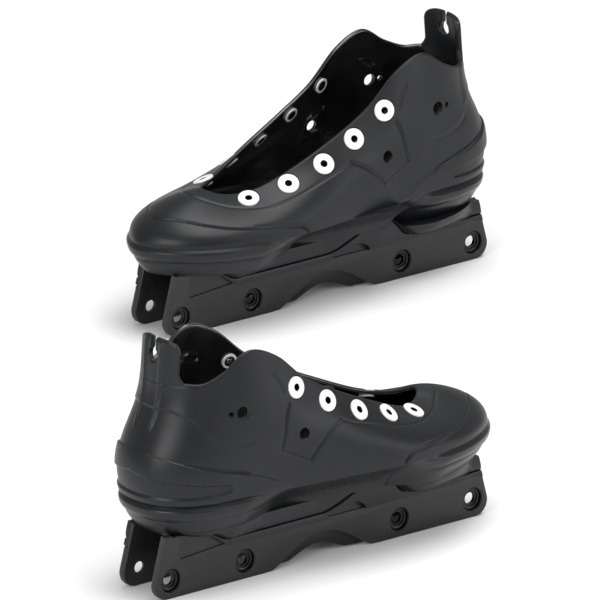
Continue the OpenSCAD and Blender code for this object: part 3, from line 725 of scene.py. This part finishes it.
def skirt():
    """Flange under the sole: a lip along its edge that rises over the hump, and a
    foot that sweeps out under the bumpers."""
    xs = np.concatenate([np.linspace(FOOT_BACK, SKIRT_BACK, 50)[:-1],
                         np.linspace(SKIRT_BACK, SKIRT_FRONT, 220)])
    rings = []
    for x in xs:
        ramp = min(1, max(0, (SKIRT_BACK - x) / SKIRT_RAMP))
        tip = smooth((SKIRT_BACK - SKIRT_RAMP - x) / (-FOOT_BACK + SKIRT_BACK - SKIRT_RAMP))
        low = LEDGE_Z + (FOOT_Z - LEDGE_Z) * smooth(ramp) + (SOLE_Z - FOOT_Z - 0.5) * tip
        reach = HUMP_BACK if x < HUMP_X else HUMP_FRONT
        rise = smooth(1 - abs(x - HUMP_X) / reach)
        lip = low + (LIP_Z + (HUMP_TOP - LEDGE_Z - LIP_Z) * rise) * (1 - 0.9 * ramp)
        edge = LIP_OUT * (1 - ramp) * (1 - FADE_SHARE * smooth((x - LIP_FADE) / FADE_RUN))
        out = edge + (HUMP_OUT - LIP_OUT) * rise
        y = SKIRT_HALF
        mid = (low + lip) / 2
        points = [(SKIRT_IN, low), (y - 0.5, low), (y + edge - 0.25, low + 0.25 * (1 - tip)),
                  (y + edge, low + 0.9 * (1 - ramp)),
                  (y + edge + 0.6 * (out - edge) * rise, mid),
                  (y + out, lip - 0.9 * (1 - ramp)), (y + out - 0.25, lip - 0.3 * (1 - ramp)),
                  (y + out - 0.8, lip)]
        side = max(float(sole_side(x)), y + 1.5)
        start = np.array([y + out - 1.6, lip + 0.02])
        stop = np.array([side - 0.6, max(SOLE_Z, lip) + 0.3])
        turn = np.array([side + 0.2, lip + 1.2]) * (1 - rise) + stop * rise
        for t in np.linspace(0, 1, 9):
            points.append(tuple((1 - t) ** 2 * start + 2 * t * (1 - t) * turn + t * t * stop))
        points.append((CORE_HALF + 0.5, stop[1]))
        points.append((CORE_HALF + 0.5, SOLE_Z))
        points.append((SKIRT_IN, SOLE_Z))
        rings.append([(x, -py, pz) for py, pz in points])
    return loft(rings)


def past_the_end():
    """What lies beyond the rounded end of the frame."""
    arc = [(x - END_TRIM, z) for x, z in end_arc(1) if z > 5]
    far, above = SKIRT_FRONT + 20, SOLE_Z + 5
    return slab([(far, arc[0][1]), (far, above), (arc[-1][0] - TOP_TRIM, above), *arc[::-1]],
                -60, 0)


def soul_plate():
    obj = make("plate", sole_blank(), (PLATE,))
    combine(obj, zone(-1, -GAP), "INTERSECT")
    flange = make("flange", skirt())
    combine(flange, past_the_end(), "DIFFERENCE")
    combine(obj, solid_of(flange), "UNION")
    turn = np.radians(np.arange(0, 181, 7.5))
    notch = [(NOTCH_X - NOTCH_HALF * math.cos(a), LEDGE_Z - 1 + (NOTCH_TOP + 1) * math.sin(a))
             for a in turn]
    combine(obj, slab(notch, -SKIRT_HALF - HUMP_OUT - 2, -SKIRT_HALF + NOTCH_DEEP), "DIFFERENCE")
    for x in (-PLATE_SCREW_X, PLATE_SCREW_X):
        hole = lathe([(SCREW_R, -1), (SCREW_R, SCREW_START), (POCKET_R, SCREW_START),
                      (POCKET_R, SCREW_START + POCKET_DEEP)], False)
        combine(obj, moved(hole, along_y(x, PLATE_SCREW_Z, -CORE_HALF, -1)), "DIFFERENCE")
    shade(obj, 38)
    return obj


# ------------------------------------------------------------------------- frame
WALL_T, UPPER_T, DECK_T = 5.5, 2.5, 3.5
WALL_IN = FRAME_HALF - WALL_T
OUTER_AXLE, INNER_AXLE, AXLE_Z, AXLE_R = 129.0, 65.9, 12.8, 4.0
AXLES = (-OUTER_AXLE, -INNER_AXLE, INNER_AXLE, OUTER_AXLE)
END_R, END_X, END_LEAN = 10.5, OUTER_AXLE + 2.5, 2.0
ARCH_HALF, ARCH_Z, ARCH_BEND = 44.0, 19.0, 1.3
INSERT_R, INSERT_DEEP, INSERT_T = 7.75, 4.0, 1.8
BLOCK_HALF, BLOCK_TOP, BLOCK_SEAT, RUNNER_X, GROOVE_Z = 50.0, 21.0, 8.0, 31.0, 9.0
TIE_INSET = 4.0    # the deck and the web end this far before the axles and the block
POST_X = SKIRT_BACK - 22
RECESS_X = OUTER_AXLE - 8
EDGE = 0.8


def end_arc(side):
    """Rounded end of the frame, from the rail up to the deck."""
    top = np.array([END_X + END_LEAN, SOLE_Z])
    centre = np.array([END_X, END_R])
    away = top - centre
    gap = np.linalg.norm(away)
    stop = math.atan2(away[1], away[0]) - math.acos(END_R / gap)
    turn = np.linspace(-math.pi / 2, stop, 26)
    arc = [(side * (END_X + END_R * math.cos(a)), END_R + END_R * math.sin(a)) for a in turn]
    return arc + [(side * top[0], top[1])]


def wall_outline():
    s = np.linspace(-1, 1, 61)
    arch = [(ARCH_HALF * k, ARCH_Z * math.cos(math.pi / 2 * k) ** ARCH_BEND)
            for k in s[1:-1]]
    return [(-ARCH_HALF - 6, 0), *arch, (ARCH_HALF + 6, 0), *end_arc(1), *end_arc(-1)[::-1]]


def frame_wall_cutters():
    far = OUTER_AXLE + 30
    upper = [(SKIRT_BACK, LEDGE_Z), (far, LEDGE_Z), (far, SOLE_Z + 1),
             (POST_X + 1, SOLE_Z + 1), (POST_X + 1, SOLE_Z - 2)]
    recess = [(-RECESS_X, LEDGE_Z - 2), (SKIRT_BACK - 2, LEDGE_Z + 1), (POST_X, SOLE_Z + 1),
              (-RECESS_X, SOLE_Z + 1)]
    cuts = [slab(upper, -FRAME_HALF - 1, -WALL_IN - UPPER_T),
            slab(recess, -FRAME_HALF - 1, -FRAME_HALF + 1)]
    for x in AXLES:
        hole = lathe([(AXLE_R, -WALL_T - 1), (AXLE_R, -INSERT_DEEP), (INSERT_R, -INSERT_DEEP),
                      (INSERT_R, -0.7), (INSERT_R + 0.7, 0), (INSERT_R + 0.7, 1)], False)
        hole["m"] = [1] * len(hole["f"])
        cuts.append(moved(hole, along_y(x, AXLE_Z, -FRAME_HALF, -1)))
    return cuts


def skate_frame():
    half_turn = Matrix.Rotation(math.pi, 4, "Z")
    wall = slab(wall_outline(), -FRAME_HALF, -WALL_IN, EDGE)
    obj = make("frame", wall, (FRAME_SKIN, INSERT_AND_SHADE_SKIN))
    combine(obj, moved(wall, half_turn), "UNION")
    deck = OUTER_AXLE - TIE_INSET
    web = BLOCK_HALF - TIE_INSET
    reach = WALL_IN + 0.5
    combine(obj, block(-deck, deck, -reach, reach, SOLE_Z - DECK_T, SOLE_Z), "UNION")
    combine(obj, block(-web, web, -reach, reach, BLOCK_TOP, SOLE_Z - 1), "UNION")
    for cutter in frame_wall_cutters():
        combine(obj, cutter, "DIFFERENCE")
        combine(obj, moved(cutter, half_turn), "DIFFERENCE")
    for x in (-BOLT_X, BOLT_X):
        hole = lathe([(BOLT_R + PLAY, SOLE_Z - DECK_T - 1), (BOLT_R + PLAY, SOLE_Z + 1)], False)
        combine(obj, moved(hole, Matrix.Translation((x, 0, 0))), "DIFFERENCE")
    shade(obj, 32)
    return obj


def axle_inserts(side):
    """Stepped inserts, each with a fine lead-in and a rounded collar."""
    profile = [(AXLE_R, 0), (INSERT_R, 0), (INSERT_R, INSERT_T - 0.4),
               (INSERT_R - 0.4, INSERT_T), (6.3, INSERT_T), (5.75, INSERT_T - 0.3),
               (5.75, INSERT_T - 1), (AXLE_R + 0.4, INSERT_T - 1), (AXLE_R, INSERT_T - 1.3)]
    ring = lathe(profile)
    start = side * (FRAME_HALF - INSERT_DEEP)
    return make("inserts", joined([moved(ring, along_y(x, AXLE_Z, start, side)) for x in AXLES]),
                (INSERT_AND_SHADE_SKIN,))


def groove_block():
    low = 1.5
    groove_half = 0.8 * RUNNER_X
    s = np.linspace(-1, 1, 49)
    groove = [(groove_half * k, low + (GROOVE_Z - low) * math.cos(math.pi / 2 * k) ** 1.2)
              for k in s]

    def runner(side):
        return [(side * RUNNER_X, low), (side * (RUNNER_X + 9), low + 1),
                (side * (BLOCK_HALF - 3), low + 3.6), (side * BLOCK_HALF, low + 6),
                (side * BLOCK_HALF, BLOCK_TOP)]

    outline = runner(-1)[::-1] + groove + runner(1)
    width = WALL_IN - 0.2
    # Its near-black material is painted shade from between the frame walls.
    obj = make("block", slab(outline, -width, width, 0.7), (BLOCK_SHADE_SKIN,))
    for x in (-RUNNER_X, RUNNER_X):
        hole = lathe([(SCREW_HEAD_R + PLAY, -2), (SCREW_HEAD_R + PLAY, BLOCK_SEAT),
                      (SCREW_R + PLAY, BLOCK_SEAT),
                      (SCREW_R + PLAY, BLOCK_TOP + 1)], False, 48)
        combine(obj, moved(hole, Matrix.Translation((x, 0, 0))), "DIFFERENCE")
    shade(obj, 32)
    return obj


# --------------------------------------------------------------------- fasteners
BOLT_R, BOLT_HEAD_R, BOLT_HEAD_T, BOLT_WASHER_R, BOLT_WASHER_T = 4.0, 6.5, 5.0, 8.5, 1.6
NUT_R, NUT_T, NUT_BARREL_L = 10.0, 1.6, 16.0
BOLT_KEY_R, BOLT_KEY_DEEP, BOLT_SHORT = 3.2, 2.5, 2.0
BOLT_UNDER = SOLE_Z - DECK_T - BOLT_WASHER_T
NUT_TOP = SEAM_Z + FLOOR


def socket_screw(radius, length, head_r, head_t, key_r, key_deep):
    """Screw along +Z with its head below z = 0, and a hexagon socket in it."""
    profile = [(0.05, -head_t), (head_r - 0.6, -head_t), (head_r, -head_t + 0.6), (head_r, 0),
               (radius, 0), (radius, length - 0.5), (radius - 0.5, length), (0.05, length)]
    obj = make("screw", lathe(profile, wrap=False, segments=48))
    combine(obj, lathe([(key_r, -head_t - 1), (key_r, -head_t + key_deep)], False, 6),
            "DIFFERENCE")
    return solid_of(obj)


def at_bolts(solid):
    return joined([moved(solid, Matrix.Translation((x, 0, 0))) for x in (-BOLT_X, BOLT_X)])


def frame_bolts():
    bolt = socket_screw(BOLT_R, NUT_TOP - BOLT_SHORT - BOLT_UNDER, BOLT_HEAD_R, BOLT_HEAD_T,
                        BOLT_KEY_R, BOLT_KEY_DEEP)
    return make("bolts", at_bolts(moved(bolt, Matrix.Translation((0, 0, BOLT_UNDER)))), (STEEL,))


def bolt_washers():
    ring = lathe(washer_profile(BOLT_R, BOLT_WASHER_R, BOLT_UNDER, BOLT_UNDER + BOLT_WASHER_T))
    return make("bolt_washers", at_bolts(ring), (STEEL,))


def flange_nuts():
    low, top = NUT_TOP - NUT_BARREL_L, NUT_TOP + NUT_T
    profile = [(BOLT_R, low), (NUT_BARREL_R - 0.4, low), (NUT_BARREL_R, low + 0.4),
               (NUT_BARREL_R, NUT_TOP), (NUT_R, NUT_TOP), (NUT_R, NUT_TOP + 0.5),
               (NUT_R - 0.8, top - 0.3), (NUT_R - 2, top), (BOLT_R + 0.6, top),
               (BOLT_R, top - 0.6)]
    return make("nuts", at_bolts(lathe(profile)), (STEEL,))


def plate_screw(length):
    return socket_screw(SCREW_R, length, SCREW_HEAD_R, SCREW_HEAD_T, SCREW_KEY_R,
                        SCREW_KEY_DEEP)


def soul_plate_screws():
    screw = plate_screw(SCREW_L)
    both = []
    for side in (-1, 1):
        for x in (-PLATE_SCREW_X, PLATE_SCREW_X):
            start = side * (CORE_HALF + SCREW_START)
            both.append(moved(screw, along_y(x, PLATE_SCREW_Z, start, -side)))
    return make("plate_screws", joined(both), (STEEL,))


def groove_block_screws():
    screw = plate_screw(BLOCK_TOP)
    return make("block_screws", joined([moved(screw, Matrix.Translation((x, 0, BLOCK_SEAT)))
                                        for x in (-RUNNER_X, RUNNER_X)]), (STEEL,))


# ------------------------------------------------------------ setting both skates
def centre_of(skate):
    low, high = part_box(f"{skate}_frame")
    return Vector(((low.x + high.x) / 2, (low.y + high.y) / 2, 0))


def set_piece(obj, node, mirrored, turned=False):
    """Puts a copy of obj on each skate; the left boot is the right one mirrored."""
    shape = obj.data
    shape.transform(Matrix.Scale(MM, 4))
    if turned:
        shape.transform(Matrix.Rotation(math.pi, 4, "Z"))
    for skate in ("right", "left"):
        mesh = shape.copy()
        if skate == "left" and mirrored:
            mesh.transform(Matrix.Scale(-1, 4, (1, 0, 0)))
            mesh.flip_normals()
        piece = bpy.data.objects.new(f"{skate}_{node}_skin", mesh)
        bpy.context.scene.collection.objects.link(piece)
        piece.location = centre_of(skate)
        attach(piece, f"{skate}_skate")
        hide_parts(f"{skate}_{node}")
    bpy.data.objects.remove(obj)


def set_fasteners(obj, node, angle=32, mirrored=False):
    shade(obj, angle)
    set_piece(obj, node, mirrored)


set_piece(shell(), "shell", True)
set_piece(sole(), "sole", True)
set_piece(soul_plate(), "outer_soul_plate", False)
set_piece(soul_plate(), "inner_soul_plate", False, turned=True)
set_piece(skate_frame(), "frame", False)
set_piece(groove_block(), "groove_block", False)
for place, sign in (("outer", -1), ("inner", 1)):
    set_fasteners(axle_inserts(sign), f"{place}_axle_inserts")
    set_fasteners(eyelets(sign), f"{place}_eyelets", mirrored=True)
    set_fasteners(eyelet_washers(sign), f"{place}_eyelet_washers",
                  mirrored=True)
set_fasteners(frame_bolts(), "frame_bolts")
set_fasteners(bolt_washers(), "frame_bolt_washers")
set_fasteners(flange_nuts(), "flange_nuts")
set_fasteners(soul_plate_screws(), "soul_plate_screws", mirrored=True)
set_fasteners(groove_block_screws(), "groove_block_screws")


# ----------------------------------------------------- floor, lights and camera
def pale_floor():
    n = Nodes("pale_floor")
    colour = n.blend(n.span(n.noise(1.5, 3), 0, 1), (0.94, 0.94, 0.945), (0.97, 0.97, 0.97))
    roughness = n.span(n.noise(6, 3), 0.75, 0.9)
    material = n.finish(colour, roughness, n.bump(n.noise(400, 2), 0.03, 0.0002))
    mesh = bpy.data.meshes.new("floor")
    size = 60.0
    mesh.from_pydata([(-size, -size, 0), (size, -size, 0), (size, size, 0), (-size, size, 0)],
                     [], [(0, 1, 2, 3)])
    mesh.materials.append(material)
    obj = bpy.data.objects.new("floor", mesh)
    bpy.context.scene.collection.objects.link(obj)


def softbox(name, place, aim, size, power):
    light = bpy.data.lights.new(name, "AREA")
    light.shape, light.size, light.size_y = "RECTANGLE", size[0], size[1]
    light.energy = power
    obj = bpy.data.objects.new(name, light)
    obj.location = place
    obj.rotation_euler = (Vector(aim) - Vector(place)).to_track_quat("-Z", "Y").to_euler()
    bpy.context.scene.collection.objects.link(obj)


def studio():
    world = bpy.data.worlds.new("studio")
    world.use_nodes = True
    sky = world.node_tree.nodes["Background"]
    sky.inputs["Color"].default_value = (1, 1, 1, 1)
    sky.inputs["Strength"].default_value = 0.42
    bpy.context.scene.world = world
    softbox("top", (0.3, -0.2, 2.6), (0, 0, 0), (2.2, 1.6), 52)
    softbox("left", (-2.4, -0.9, 1.1), (0, 0, 0.08), (1.2, 1.4), 30)
    softbox("front", (0.9, -2.6, 1.5), (0, 0, 0.08), (1.4, 1.0), 12)
    softbox("low", (1.9, -2.4, 0.5), (0, 0, 0.12), (0.8, 0.8), 9)
    bpy.context.scene.view_settings.view_transform = "Standard"


AZIMUTH, ELEVATION = math.radians(-38.4), math.radians(19.3)
DISTANCE = 15.0
PX_PER_M = 1465.5    # how large a metre at the skates is in a render 600 wide
AIM_RIGHT, AIM_UP = -0.0048, 0.0805
SENSOR, IMAGE = 36.0, 600


def camera():
    a, e = AZIMUTH, ELEVATION
    forward = Vector((-math.sin(a) * math.cos(e), math.cos(a) * math.cos(e), -math.sin(e)))
    right = Vector((math.cos(a), math.sin(a), 0))
    up = right.cross(forward)
    target = right * AIM_RIGHT + up * AIM_UP
    data = bpy.data.cameras.new("camera")
    data.sensor_width = SENSOR
    data.lens = PX_PER_M * DISTANCE * SENSOR / IMAGE
    data.clip_end = 200
    obj = bpy.data.objects.new("camera", data)
    obj.location = target - forward * DISTANCE
    obj.rotation_euler = forward.to_track_quat("-Z", "Y").to_euler()
    bpy.context.scene.collection.objects.link(obj)
    bpy.context.scene.camera = obj


pale_floor()
studio()
camera()
